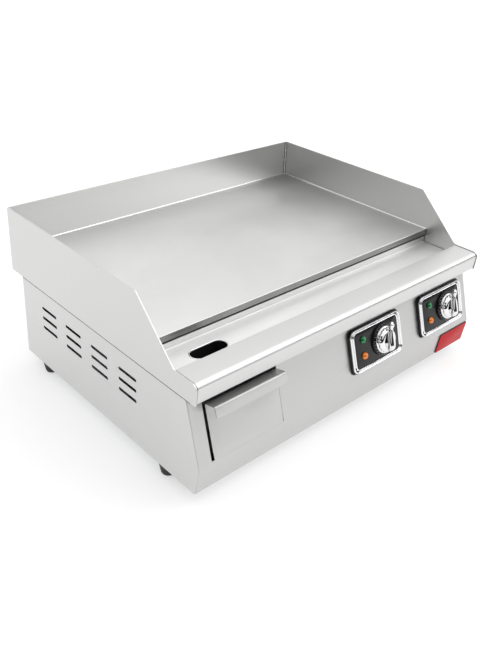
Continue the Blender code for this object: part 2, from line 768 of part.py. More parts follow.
def make_thermostat(side, x, place):
    body = rounded(21 * MM, 17 * MM, 3 * MM, 2)
    loops = [[(a, b, z) for a, b in body] for z in (-38 * MM, -6.0 * MM)]
    neck = circle(9 * MM, 0.0, 12)
    bm = bmesh.new()
    add_loft(bm, loops)
    thermostat = finish("thermostat_" + side, bm, material("thermostat_case", (0.75, 0.74, 0.70), 0.5, 0.0), "part", place)
    collar = loft(
        "collar_" + side, [[(a, b, z) for a, b, _ in neck] for z in (-7 * MM, -1.8 * MM)], None, "cutters", place
    )
    cut(thermostat, collar, "UNION")
    bore = loft(
        "bore_" + side, [[(a, b, z) for a, b, _ in circle(3.4 * MM, 0.0, 12)] for z in (-3 * MM, 2 * MM)],
        None, "cutters", place,
    )
    cut(thermostat, bore)
    start = place @ Vector((0.0, 10 * MM, -39.2 * MM)) + Vector((0.0, MIDDLE, -FOOT_HEIGHT))
    zone = -ZONE_X if side == "left" else ZONE_X
    drop = 109 * MM
    level = 96 * MM if side == "left" else 104 * MM
    path = [
        start, start + Vector((0.0, 14 * MM, 4 * MM)), (start.x, drop, level), (zone, drop, level),
        (zone, drop, 158.8 * MM), (zone, 180 * MM, 158.8 * MM),
    ]
    line = soften(path, 6 * MM, 3)
    bulb = [Vector((zone, y * MM, 158.8 * MM)) for y in (183, 184, 252, 254)]
    radii = [0.9 * MM] * len(line) + [2.6 * MM, 3.2 * MM, 3.2 * MM, 2.0 * MM]
    tube("sensor_" + side, line + bulb, radii, material("copper", (0.72, 0.38, 0.22), 0.35, 1.0), 8)


def make_badge():
    lean = math.atan2(PANEL_FOOT_Y - BEND_Y, BEND_Z)
    up = Vector((0.0, -math.sin(lean), math.cos(lean)))
    across = Vector((1.0, 0.0, 0.0))
    outward = across.cross(up)
    turn = Matrix((across, up, outward)).transposed().to_4x4()
    middle = world((257.5 * MM, (BEND_Y + PANEL_FOOT_Y) / 2, BEND_Z / 2))
    place = Matrix.Translation(middle + outward * GAP) @ turn
    outline = rounded(38 * MM, 18.5 * MM, 1.5 * MM, 2)
    prism("badge_plate", outline, 0.0, 1.8 * MM, material("red_enamel", (0.55, 0.02, 0.03), 0.3, 0.0), "Z", place=place)


def make_electrics():
    base = SIDE_THICK + GAP
    block = box(
        "terminal_block", (160 * MM, 360 * MM, base), (220 * MM, 384 * MM, base + 22 * MM),
        material("terminal_plastic", (0.85, 0.84, 0.80), 0.5, 0.0),
    )
    bm = bmesh.new()
    for i in range(5):
        x = (168 + 11 * i) * MM
        bmesh.ops.create_cone(
            bm, cap_ends=True, segments=10, radius1=3 * MM, radius2=3 * MM, depth=20 * MM,
            matrix=Matrix.Translation((x, 372 * MM, base + 22 * MM)),
        )
    cut(block, finish("terminal_wells", bm, None, "cutters"))
    turn = Matrix.Rotation(-math.pi / 2, 4, "X")
    gland_place = Matrix.Translation(world((200 * MM, BODY_BACK, 40 * MM))) @ turn
    gland = [(4.5 * MM, -12 * MM), (7.9 * MM, -12 * MM), (7.9 * MM, GAP), (12 * MM, GAP), (12 * MM, 6 * MM)]
    gland += [(10.5 * MM, 7 * MM), (10.5 * MM, 15 * MM), (8.5 * MM, 18.5 * MM), (4.5 * MM, 18.5 * MM)]
    ring_lathe("cable_gland", gland, black_plastic(), gland_place, 12)
    nut = [(9.3 * MM, -6.5 * MM), (13 * MM, -6.5 * MM), (13 * MM, -1.6 * MM), (9.3 * MM, -1.6 * MM)]
    ring_lathe("gland_locknut", nut, black_plastic(), gland_place, 6)
    stud_place = Matrix.Translation(world((150 * MM, BODY_BACK, 40 * MM))) @ turn
    stud = [(0.0, -8 * MM), (3.0 * MM, -8 * MM), (3.0 * MM, 0.4 * MM), (5.8 * MM, 0.4 * MM), (5.8 * MM, 4.6 * MM)]
    stud += [(3.0 * MM, 4.6 * MM), (3.0 * MM, 15 * MM), (2.5 * MM, 15.6 * MM), (0.0, 15.6 * MM)]
    lathe("earth_stud", stud, material("brass", (0.75, 0.58, 0.28), 0.3, 1.0), stud_place, 12)


def make_feet():
    foot = [(2.9 * MM, -8.5 * MM), (6.0 * MM, -8.5 * MM), (6.0 * MM, -FOOT_HEIGHT), (9.0 * MM, -FOOT_HEIGHT)]
    foot += [(10.2 * MM, -18.5 * MM), (14.0 * MM, -GAP), (2.9 * MM, -GAP)]
    screw = [(0.0, -13.2 * MM), (4.2 * MM, -13.2 * MM), (4.6 * MM, -12.2 * MM), (4.6 * MM, -8.8 * MM)]
    screw += [(2.2 * MM, -8.8 * MM), (2.2 * MM, 1.6 * MM), (4.2 * MM, 1.6 * MM), (4.2 * MM, 5.0 * MM)]
    screw.append((0.0, 5.0 * MM))
    for depth_name, y in zip(("front", "rear"), FOOT_Y):
        for side, sign in SIDES:
            place = Matrix.Translation(world((sign * FOOT_X, y, 0.0)))
            ring_lathe("foot_" + depth_name + "_" + side, foot, rubber(), place, 20)
            lathe("foot_screw_" + depth_name + "_" + side, screw, galvanised(), place, 10)


def main():
    clear_scene()
    make_collections()
    make_side_panels()
    make_base_pan()
    make_front_panel()
    make_rear_panel()
    make_front_rail()
    make_guards()
    make_plate()
    make_plate_supports()
    make_heating()
    make_insulation()
    make_drain_spout()
    make_drawer()
    make_drawer_guides()
    make_controls()
    make_badge()
    make_electrics()
    make_feet()


main()
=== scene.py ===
"""Looks for the countertop electric griddle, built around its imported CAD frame."""

import math

import bmesh
import bpy
import numpy as np
from mathutils import Matrix, Vector

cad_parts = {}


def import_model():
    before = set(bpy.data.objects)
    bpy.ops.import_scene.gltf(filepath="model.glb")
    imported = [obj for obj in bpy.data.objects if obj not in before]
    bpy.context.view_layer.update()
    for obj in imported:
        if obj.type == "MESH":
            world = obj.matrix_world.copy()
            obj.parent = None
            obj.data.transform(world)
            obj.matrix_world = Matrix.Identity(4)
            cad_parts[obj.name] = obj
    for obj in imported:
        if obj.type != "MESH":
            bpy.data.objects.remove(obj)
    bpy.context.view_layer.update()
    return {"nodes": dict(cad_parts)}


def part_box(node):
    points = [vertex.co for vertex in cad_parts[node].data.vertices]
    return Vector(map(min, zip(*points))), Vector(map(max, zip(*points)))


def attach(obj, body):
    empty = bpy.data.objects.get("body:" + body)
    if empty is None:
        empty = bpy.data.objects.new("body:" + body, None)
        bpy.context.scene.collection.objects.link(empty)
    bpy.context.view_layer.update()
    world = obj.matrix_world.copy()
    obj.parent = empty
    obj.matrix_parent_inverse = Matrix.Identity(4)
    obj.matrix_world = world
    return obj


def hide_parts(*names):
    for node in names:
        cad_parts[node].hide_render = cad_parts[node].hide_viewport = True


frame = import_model()
NODES = frame["nodes"]
MM = 0.001

# Places shared with the CAD part: x across, y back from the rail's nose, z up from the body's bottom edge.
MIDDLE = 216.35 * MM                        # how far the origin lies behind the nose
FOOT = 20 * MM                              # how high the body's bottom edge stands above the table
BEND = (-4.8 * MM, 41.0 * MM)               # the panel's bend, as y and z
SLANT = math.atan2(28.2, 95.0)              # how far the panel above the bend leans back
GUARD_INSIDE = 298 * MM                     # from the middle to a side guard's inner face
REAR = 427 * MM                             # the rear panel's outer face
BEZEL_X = {"left": 53.5 * MM, "right": 220.2 * MM}
BEZEL_UP = 46.8 * MM                        # from the bend up the slope to the bezels' middle
BEZEL_HALF = (58.5 * MM, 33.75 * MM)
INSERT_HALF = (50 * MM, 27.75 * MM)
KNOB_OFFSET = 13 * MM                       # from the bezel's middle across to the knob's axis
KNOB_TURN = math.radians(-10)
LAMP_X = -31 * MM
LAMP_UP = {"green": 14.0 * MM, "amber": -11.0 * MM}
TROUGH_FLOOR = 149.5 * MM
SHEET_THICK = 1.5 * MM
DRAIN = (-221 * MM, 71 * MM)
DRAIN_SIZE = (58 * MM, 23 * MM)

# The studio's fields: direction, outer and inner angle in degrees, and the change in brightness.
STUDIO = (
    ((-0.66, -0.66, 0.32), 35, 22, -0.97),
    ((-0.74, 0.55, 0.30), 46, 20, -0.25),
    ((0.69, -0.12, 0.71), 36, 12, 0.28),
)
# Level bands in front of the griddle, a dark flag and above it a long softbox: the sines of the elevations
# where each starts, is full, is full still and ends, and the change in brightness.
FLAG = (0.01, 0.03, 0.26, 0.29, -0.96)
SOFTBOX = (0.29, 0.33, 0.58, 0.66, 1.6)
SECTOR_AHEAD = (0.1, 0.4)                   # both bands fade in as a direction points this far forward
SECTOR_RIGHT = (0.25, 0.6)                  # and the softbox also as it points this far to the right
SKY_LOW, SKY_HIGH = 1.12, 1.5               # brightness near the horizon and overhead
SKY_RISE = (0.3, 0.9)                       # the sines of the elevations between which it rises
BACKDROP = 1.02                             # brightness of what the camera sees behind the floor
FLOOR_SIZE = 15.0
FLOOR_GLOW = 0.52
OVERHEAD_POWER = 6

CAMERA_PLACE = (-0.7655, -0.7746, 0.7051)
CAMERA_ANGLES = (-43.97, 25.15, 3.06)       # azimuth, elevation and roll in degrees
CAMERA_LENS = 41.704
CAMERA_SHIFT = (-0.0059, -0.1177)


def world(x, y, z):
    return Vector((x, y - MIDDLE, z + FOOT))


def panel_place(x, up, out=0.0):
    """A matrix for the slanted panel: X across, Y up the slope, Z outwards."""
    s, c = math.sin(SLANT), math.cos(SLANT)
    origin = world(x, BEND[0] + up * s - out * c, BEND[1] + up * c + out * s)
    turn = Matrix(((1, 0, 0), (0, s, -c), (0, c, s))).to_4x4()
    return Matrix.Translation(origin) @ turn


# ---------------------------------------------------------------- materials

class Graph:
    """Short calls for building a node tree."""

    def __init__(self, tree):
        self.tree = tree

    def node(self, kind):
        return self.tree.nodes.new(kind)

    def link(self, source, target):
        self.tree.links.new(source, target)

    def feed(self, value, socket):
        """Links a socket to another one, or sets it to a plain value."""
        if isinstance(value, bpy.types.NodeSocket):
            self.link(value, socket)
        else:
            socket.default_value = value

    def math(self, operation, one, two):
        node = self.node("ShaderNodeMath")
        node.operation = operation
        self.feed(one, node.inputs[0])
        self.feed(two, node.inputs[1])
        return node.outputs["Value"]

    def span(self, source, low, high, start=0.3, end=0.7, ramp="LINEAR"):
        """Low where the source is start, high where it is end."""
        node = self.node("ShaderNodeMapRange")
        node.interpolation_type = ramp
        node.inputs["From Min"].default_value = start
        node.inputs["From Max"].default_value = end
        node.inputs["To Min"].default_value = low
        node.inputs["To Max"].default_value = high
        self.link(source, node.inputs["Value"])
        return node.outputs["Result"]


class Nodes(Graph):
    """One material's node tree, around its Principled shader."""

    def __init__(self, name):
        self.material = bpy.data.materials.new(name)
        self.material.use_nodes = True
        super().__init__(self.material.node_tree)
        self.shader = self.tree.nodes["Principled BSDF"]
        self.coords = self.node("ShaderNodeTexCoord").outputs["Object"]

    def noise(self, scale, detail=3.0, rough=0.5, distortion=0.0):
        mapping = self.node("ShaderNodeMapping")
        mapping.inputs["Scale"].default_value = scale
        self.link(self.coords, mapping.inputs["Vector"])
        node = self.node("ShaderNodeTexNoise")
        node.inputs["Scale"].default_value = 1.0
        node.inputs["Detail"].default_value = detail
        node.inputs["Roughness"].default_value = rough
        node.inputs["Distortion"].default_value = distortion
        self.link(mapping.outputs["Vector"], node.inputs["Vector"])
        return node.outputs["Fac"]

    def mix(self, factor, one, two):
        """From colour one to colour two as the factor goes from 0 to 1."""
        node = self.node("ShaderNodeMix")
        node.data_type = "RGBA"
        self.link(factor, node.inputs["Factor"])
        node.inputs["A"].default_value = (*one, 1.0)
        node.inputs["B"].default_value = (*two, 1.0)
        return node.outputs["Result"]

    def colour(self, factor, one, two):
        self.link(self.mix(factor, one, two), self.shader.inputs["Base Color"])

    def roughness(self, source):
        self.link(source, self.shader.inputs["Roughness"])

    def bump(self, height, distance, strength=1.0):
        node = self.node("ShaderNodeBump")
        node.inputs["Distance"].default_value = distance
        node.inputs["Strength"].default_value = strength
        self.link(height, node.inputs["Height"])
        self.link(node.outputs["Normal"], self.shader.inputs["Normal"])

    def set(self, **values):
        names = {
            "metal": "Metallic", "rough": "Roughness", "coat": "Coat Weight", "spec": "Specular IOR Level",
            "aniso": "Anisotropic", "turn": "Anisotropic Rotation", "glow": "Emission Strength",
        }
        for key, value in values.items():
            self.shader.inputs[names[key]].default_value = value


def stretched(along, fine, axis):
    """Noise scales for streaks along one axis."""
    scale = [fine, fine, fine]
    scale["XYZ".index(axis)] = along
    return tuple(scale)


def brushed(name, axis="X", colour=(0.66, 0.66, 0.655), rough=0.35, streak=0.025, smudge=0.05, metal=0.88):
    """Brushed stainless sheet: long fine grain along one axis, broader streaks and faint handling smudges."""
    n = Nodes(name)
    fine = n.noise(stretched(14, 3200, axis), 2.0, 0.6)
    broad = n.noise(stretched(2.2, 260, axis), 3.0, 0.55)
    cloud = n.noise((7, 7, 7), 3.0, 0.5, 0.4)
    spots = n.noise((55, 55, 55), 2.0, 0.6)
    tone = n.math("ADD", n.span(fine, -streak, streak), n.span(broad, -streak * 0.25, streak * 0.25))
    tone = n.math("ADD", tone, n.span(cloud, -smudge * 0.2, smudge * 0.2))
    dark = tuple(c * 0.92 for c in colour)
    light = tuple(min(c * 1.08, 1.0) for c in colour)
    n.colour(n.math("ADD", n.math("MULTIPLY", tone, 5.0), 0.5), dark, light)
    rougher = n.span(fine, rough - 0.04, rough + 0.04)
    rougher = n.math("ADD", rougher, n.span(cloud, -smudge * 0.3, smudge * 0.3))
    rougher = n.math("ADD", rougher, n.span(spots, -smudge * 0.1, smudge * 0.1))
    n.roughness(rougher)
    n.bump(n.math("ADD", fine, n.math("MULTIPLY", broad, 0.2)), 0.00002, 0.4)
    n.set(metal=metal, aniso=0.3, turn=0.0 if axis == "X" else 0.25)
    return n.material


def ground_plate():
    """The plate's ground face: matt, with cross-hatched fine scratches and heat-toned clouds."""
    n = Nodes("ground_plate_steel")
    one = n.noise((10, 2600, 2600), 2.0, 0.6)
    two = n.noise((1900, 12, 1900), 2.0, 0.6)
    cloud = n.noise((4.5, 6.5, 6.5), 4.0, 0.5, 0.6)
    spots = n.noise((26, 26, 26), 3.0, 0.55, 0.2)
    grain = n.math("ADD", n.math("MULTIPLY", one, 0.7), n.math("MULTIPLY", two, 0.3))
    tone = n.math("ADD", n.span(grain, -0.3, 0.3), n.span(cloud, -0.45, 0.45))
    tone = n.math("ADD", tone, n.span(spots, -0.12, 0.12))
    n.colour(n.math("ADD", tone, 0.5), (0.65, 0.65, 0.64), (0.71, 0.71, 0.705))
    n.roughness(n.math("ADD", n.span(grain, 0.40, 0.50), n.span(cloud, -0.035, 0.035)))
    n.bump(grain, 0.00003, 0.5)
    n.set(metal=1.0, aniso=0.2)
    return n.material


def plate_edge():
    """The plate's sawn and heat-darkened edge, with fine upright tool marks; on the drawer front's cut rim
    the same dark colour is painted shade.
    """
    n = Nodes("plate_oxide_and_rim_shade")
    marks = n.noise((900, 900, 20), 3.0, 0.6)
    cloud = n.noise((18, 18, 60), 3.0, 0.5)
    tone = n.math("ADD", n.span(marks, -0.3, 0.3), n.span(cloud, -0.3, 0.3))
    n.colour(n.math("ADD", tone, 0.5), (0.26, 0.26, 0.255), (0.36, 0.36, 0.355))
    n.roughness(n.span(marks, 0.36, 0.5))
    n.bump(marks, 0.00005, 0.5)
    n.set(metal=1.0)
    return n.material


def polished(name, colour=(0.82, 0.82, 0.82), rough=0.12):
    """Polished or drawn metal with faint cloudy haze."""
    n = Nodes(name)
    cloud = n.noise((160, 160, 160), 3.0, 0.6)
    n.colour(n.span(cloud, 0.0, 1.0), tuple(c * 0.94 for c in colour), colour)
    n.roughness(n.span(cloud, rough * 0.7, rough * 1.4))
    n.bump(cloud, 0.00004, 0.3)
    n.set(metal=1.0)
    return n.material


def chrome():
    """Bright plating with a slight haze and the shallow waves of the metal below."""
    n = Nodes("plated_chrome")
    haze = n.noise((240, 240, 240), 2.0, 0.5)
    waves = n.noise((30, 30, 30), 2.0, 0.5)
    n.colour(n.span(waves, 0.0, 1.0), (0.80, 0.80, 0.81), (0.86, 0.86, 0.87))
    n.roughness(n.span(haze, 0.03, 0.075))
    n.bump(waves, 0.0001, 0.25)
    n.set(metal=1.0)
    return n.material


def plastic(name, colour, rough, grain=900, depth=0.00004, spec=0.5):
    """Moulded plastic or rubber with a fine surface texture and faint tone changes."""
    n = Nodes(name)
    fine = n.noise((grain, grain, grain), 2.0, 0.6)
    cloud = n.noise((40, 40, 40), 3.0, 0.5)
    light = tuple(min(c * 1.25 + 0.004, 1.0) for c in colour)
    n.colour(n.span(cloud, 0.0, 1.0), colour, light)
    n.roughness(n.math("ADD", n.span(fine, rough * 0.85, rough * 1.15), n.span(cloud, -0.03, 0.03)))
    n.bump(fine, depth, 0.5)
    n.set(spec=spec)
    return n.material


def lens(name, deep, bright, glow):
    """A moulded lamp lens: deep colour with brighter clouds, a clear gloss, and a faint painted glow though
    the lamp is not lit.
    """
    n = Nodes(name)
    cloud = n.noise((420, 420, 420), 2.0, 0.5, 0.5)
    colour = n.mix(n.span(cloud, 0.0, 1.0, 0.38, 0.62), deep, bright)
    n.link(colour, n.shader.inputs["Base Color"])
    n.link(colour, n.shader.inputs["Emission Color"])
    n.roughness(n.span(cloud, 0.04, 0.12))
    n.bump(cloud, 0.0001, 0.3)
    # the emission is painted glow: the lamp is off
    n.set(glow=glow, coat=0.4)
    return n.material


def enamel():
    """Red stove enamel with a fine orange peel."""
    n = Nodes("red_enamel")
    peel = n.noise((330, 330, 330), 2.0, 0.5)
    cloud = n.noise((30, 30, 30), 3.0, 0.5)
    n.colour(n.span(cloud, 0.0, 1.0), (0.53, 0.010, 0.014), (0.60, 0.016, 0.020))
    n.roughness(n.span(peel, 0.34, 0.44))
    n.bump(peel, 0.00003, 0.4)
    n.set(spec=0.12)
    return n.material


def zinc():
    """Galvanised sheet: a patchwork of dull crystals."""
    n = Nodes("galvanised_sheet")
    cells = n.node("ShaderNodeTexVoronoi")
    cells.inputs["Scale"].default_value = 130.0
    n.link(n.coords, cells.inputs["Vector"])
    fine = n.noise((900, 900, 900), 2.0, 0.5)
    grey = n.node("ShaderNodeRGBToBW")
    n.link(cells.outputs["Color"], grey.inputs["Color"])
    crystal = grey.outputs["Val"]
    n.colour(n.span(crystal, 0.0, 1.0, 0.2, 0.8), (0.42, 0.44, 0.45), (0.56, 0.58, 0.59))
    n.roughness(n.math("ADD", n.span(crystal, 0.38, 0.56, 0.2, 0.8), n.span(fine, -0.04, 0.04)))
    n.bump(fine, 0.00005, 0.4)
    n.set(metal=1.0)
    return n.material


STEEL_X = brushed("brushed_steel_x", "X", (0.60, 0.60, 0.595))
# a lighter copy of the brushed steel for the rear guard: painted light
STEEL_BACK_PAINTED_LIGHT = brushed("brushed_steel_back_painted_light", "X", (0.74, 0.74, 0.735), 0.34, 0.02)
STEEL_DRAWER = brushed("brushed_steel_drawer", "X", (0.60, 0.60, 0.595), 0.36, 0.025, 0.05, 0.6)
# a lighter, rougher copy of the rail's steel: painted light for the trough floor
STEEL_TROUGH_PAINTED_LIGHT = brushed("brushed_steel_trough_painted_light", "X", (0.84, 0.84, 0.835), 0.5, 0.02, 0.05, 0.8)
STEEL_Y = brushed("brushed_steel_y", "Y")
STEEL_RAIL = brushed("brushed_steel_rail", "X", (0.69, 0.69, 0.685), 0.36, 0.015)
PLATE = ground_plate()
PLATE_OXIDE_AND_RIM_SHADE = plate_edge()
SEAM = polished("polished_seam", (0.90, 0.90, 0.89), 0.22)
CHROME = chrome()
BLACK = plastic("black_gloss_plastic", (0.008, 0.008, 0.009), 0.20, 1500, 0.00001, 0.35)
DIAL = plastic("dial_plastic", (0.006, 0.006, 0.007), 0.24, 1200, 0.00002, 0.35)
RUBBER = plastic("black_rubber", (0.018, 0.018, 0.018), 0.62, 700, 0.00008)
WHITE_INK = plastic("white_ink", (0.75, 0.75, 0.73), 0.5, 900, 0.00001)
CREAM = plastic("cream_moulding", (0.68, 0.66, 0.58), 0.45, 600)
WOOL = plastic("ceramic_wool", (0.74, 0.70, 0.60), 0.95, 260, 0.0012)
ENAMEL = enamel()
ZINC = zinc()
SHEATH = brushed("element_sheath", "Y", (0.10, 0.105, 0.10), 0.48)
COPPER = polished("drawn_copper", (0.72, 0.38, 0.24), 0.28)
BRASS = polished("turned_brass", (0.76, 0.58, 0.28), 0.25)
# near-black steel as painted shade: on the drain spout seen through the drain hole, and in the guards' back
# corners
PAINTED_SHADE_STEEL = brushed("painted_shade_steel", "Z", (0.035, 0.035, 0.035), 0.5)
# both lenses glow a little: painted light, the lamps are off
GREEN = lens("green_lens", (0.0, 0.03, 0.01), (0.0, 0.30, 0.08), 0.12)
AMBER = lens("amber_lens", (0.35, 0.06, 0.0), (0.90, 0.25, 0.01), 0.25)


# ---------------------------------------------------------------- mesh helpers

def finish(name, bm, mat, body="chassis", place=None, replaces=(), slot=None, smooth=35.0):
    """Turns a bmesh into a piece that rides on a body; a cutter has no body and no material."""
    bmesh.ops.remove_doubles(bm, verts=bm.verts, dist=1e-6)
    bmesh.ops.recalc_face_normals(bm, faces=bm.faces)
    mesh = bpy.data.meshes.new(name)
    bm.to_mesh(mesh)
    bm.free()
    obj = bpy.data.objects.new(name, mesh)
    bpy.context.scene.collection.objects.link(obj)
    if place is not None:
        obj.matrix_world = place
    if mat is not None:
        mesh.materials.append(mat)
    if smooth:
        mesh.shade_smooth()
        mesh.set_sharp_from_angle(angle=math.radians(smooth))
    if body:
        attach(obj, body)
    if replaces:
        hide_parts(*replaces)
    return obj


def add_loft(bm, loops, closed=False):
    """Skins a row of closed loops, and caps both ends unless the row itself closes into a ring."""
    rings = [[bm.verts.new(Vector(p)) for p in loop] for loop in loops]
    count = len(rings[0])
    pairs = list(zip(rings, rings[1:]))
    if closed:
        pairs.append((rings[-1], rings[0]))
    for one, two in pairs:
        for i in range(count):
            j = (i + 1) % count
            bm.faces.new((one[i], one[j], two[j], two[i]))
    if not closed:
        bm.faces.new(list(reversed(rings[0])))
        bm.faces.new(rings[-1])


def loft(name, loops, mat, closed=False, **options):
    bm = bmesh.new()
    add_loft(bm, loops, closed)
    return finish(name, bm, mat, **options)


def arc(centre, radius, start, end, steps):
    angles = np.radians(np.linspace(start, end, steps + 1))
    return [(centre[0] + radius * math.cos(a), centre[1] + radius * math.sin(a)) for a in angles]


def circle(steps):
    """The angles of a full circle."""
    return [2 * math.pi * i / steps for i in range(steps)]


def polar(radius, angle, height):
    """A point on a turned piece, from its radius and height in millimetres."""
    return (radius * MM * math.cos(angle), radius * MM * math.sin(angle), height * MM)


def rounded(half_x, half_y, radius, steps=8):
    """A rectangle's outline with round corners."""
    out = []
    for sx, sy, turn in ((1, 1, 0), (-1, 1, 90), (-1, -1, 180), (1, -1, 270)):
        centre = (sx * (half_x - radius), sy * (half_y - radius))
        out.extend(arc(centre, radius, turn, turn + 90, steps))
    return out


def obround(long, wide, centre, steps=16):
    """A slot's outline, with its long side across."""
    shift = (long - wide) / 2
    return (arc((centre[0] + shift, centre[1]), wide / 2, -90, 90, steps)
            + arc((centre[0] - shift, centre[1]), wide / 2, 90, 270, steps))


def fillet(path, radius, steps=5):
    """Rounds each inner corner of a 2-D path with a true arc."""
    pts = [Vector(p) for p in path]
    out = [pts[0]]
    for a, b, c in zip(pts, pts[1:], pts[2:]):
        one, two = (a - b).normalized(), (c - b).normalized()
        angle = one.angle(two)
        if angle > math.radians(176):
            out.append(b)
            continue
        reach = min(radius / math.tan(angle / 2), (a - b).length * 0.48, (c - b).length * 0.48)
        r = reach * math.tan(angle / 2)
        centre = b + (one + two).normalized() * r / math.sin(angle / 2)
        start, end = b + one * reach - centre, b + two * reach - centre
        turn = start.angle_signed(end)
        for k in range(steps + 1):
            t = -turn * k / steps
            out.append(centre + Vector((start.x * math.cos(t) - start.y * math.sin(t),
                                        start.x * math.sin(t) + start.y * math.cos(t))))
    out.append(pts[-1])
    return [tuple(p) for p in out]


def offset(path, distance):
    """The path moved to its left by a distance."""
    points = [Vector(p) for p in path]
    normals = []
    for one, two in zip(points, points[1:]):
        run = (two - one).normalized()
        normals.append(Vector((-run.y, run.x)))
    moved = []
    for i, point in enumerate(points):
        before, after = normals[max(i - 1, 0)], normals[min(i, len(normals) - 1)]
        bisector = (before + after).normalized()
        moved.append(tuple(point + bisector * distance / bisector.dot(after)))
    return moved


def sheet(path, thick):
    """The closed outline of a folded sheet whose seen face is the path, with the metal to the path's left."""
    return list(path) + offset(path, thick)[::-1]


def across_front(name, outline, low_x, high_x, mat, **options):
    """A piece with the same y, z outline from one x to another."""
    loops = [[tuple(world(x, y, z)) for y, z in outline] for x in (low_x, high_x)]
    return loft(name, loops, mat, **options)


def ring_lathe(name, section, mat, steps=48, **options):
    """A ring turned from a closed section of (radius, height) pairs in millimetres."""
    loops = [[polar(radius, a, height) for radius, height in section] for a in circle(steps)]
    return loft(name, loops, mat, closed=True, **options)


def bevel(obj, width, segments=2, angle=35.0, weld=False):
    """Rounds an object's sharp edges; a carried-over node is welded first."""
    if weld:
        welded = obj.modifiers.new("weld", "WELD")
        welded.merge_threshold = 1e-5
    modifier = obj.modifiers.new("edges", "BEVEL")
    modifier.width = width
    modifier.segments = segments
    modifier.limit_method = "ANGLE"
    modifier.angle_limit = math.radians(angle)
    modifier.use_clamp_overlap = True
    return obj


def evaluated_mesh(obj):
    bpy.context.view_layer.update()
    return bpy.data.meshes.new_from_object(obj.evaluated_get(bpy.context.evaluated_depsgraph_get()))


def second_material(obj, mat, chosen):
    """Gives the faces for which chosen(face) is true another material."""
    obj.data.materials.append(mat)
    for face in obj.data.polygons:
        if chosen(face):
            face.material_index = 1


def cut(obj, cutter):
    """Cuts one piece with another, and removes the cutter."""
    modifier = obj.modifiers.new("cut", "BOOLEAN")
    modifier.object = cutter
    modifier.solver = "EXACT"
    mesh = evaluated_mesh(obj)
    obj.modifiers.clear()
    obj.data = mesh
    mesh.shade_smooth()
    mesh.set_sharp_from_angle(angle=math.radians(35))
    bpy.data.objects.remove(cutter)


# ---------------------------------------------------------------- carried-over CAD nodes

SIDE_PANELS = ("left_side_panel", "right_side_panel")
SIDE_GUARDS = ("left_splash_guard", "right_splash_guard")


def both(*names):
    """Each name with its left and its right ending."""
    return tuple(f"{name}_{side}" for name in names for side in ("left", "right"))


def paint_nodes():
    """Finishes the CAD nodes that stay, and breaks the sharp edges of the sheet-metal ones."""
    finishes = {
        STEEL_X: ("front_panel", "rear_panel"),
        # the rear guard's lighter steel is painted light
        STEEL_BACK_PAINTED_LIGHT: ("rear_splash_guard",),
        STEEL_Y: (*SIDE_PANELS, *SIDE_GUARDS, "drawer_box"),
        ZINC: ("base_pan", "reflector_pan", *both("plate_support", "element_clamp", "drawer_guide"),
               *both("foot_screw_front", "foot_screw_rear")),
        SHEATH: both("heating_element"),
        # the drain spout is painted near-black so that the hole in the trough reads as shaded
        PAINTED_SHADE_STEEL: ("drain_spout",),
        WOOL: ("insulation_pad",),
        CREAM: ("terminal_block", *both("thermostat")),
        COPPER: both("sensor"),
        BRASS: ("earth_stud",),
        SEAM: both("knob_shaft"),
        RUBBER: both("bezel_gasket"),
        BLACK: ("gland_locknut",),
    }
    for mat, names in finishes.items():
        for name in names:
            node = NODES[name]
            if not node.material_slots:
                node.data.materials.append(mat)
            for slot in node.material_slots:
                slot.material = mat
    for name in (*SIDE_PANELS, "front_panel", "rear_panel", "base_pan"):
        bevel(NODES[name], 0.3 * MM, 2, weld=True)
    for name in (*SIDE_GUARDS, "rear_splash_guard"):
        bevel(NODES[name], 0.9 * MM, 3, weld=True)
    for name in ("drawer_box", "reflector_pan", "terminal_block", *both("drawer_guide", "plate_support")):
        bevel(NODES[name], 0.25 * MM, 1, weld=True)


# ---------------------------------------------------------------- pieces

def make_plate():
    """The heavy plate: ground on top, dark and upright-marked on its edges, with a small chamfer between."""
    low, high = (Vector(corner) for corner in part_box("griddle_plate"))
    middle, half = (low + high) / 2, (high - low) / 2
    side_gap, end_gap = 1.4 * MM, 0.7 * MM
    rows = ((0.4, -half.z), (0.0, -half.z + 0.4 * MM), (0.0, half.z - 0.7 * MM), (0.35, half.z - 0.2 * MM),
            (0.8, half.z))
    loops = []
    for inset, z in rows:
        half_x, half_y = half.x - side_gap - inset * MM, half.y - end_gap - inset * MM
        loops.append([(a, b - end_gap, z) for a, b in rounded(half_x, half_y, 1.5 * MM, 3)])
    plate = loft("ground_plate", loops, PLATE, place=Matrix.Translation(middle), replaces=("griddle_plate",),
                 slot="ground_steel", smooth=30)
    second_material(plate, PLATE_OXIDE_AND_RIM_SHADE, lambda face: face.normal.z < 0.3)


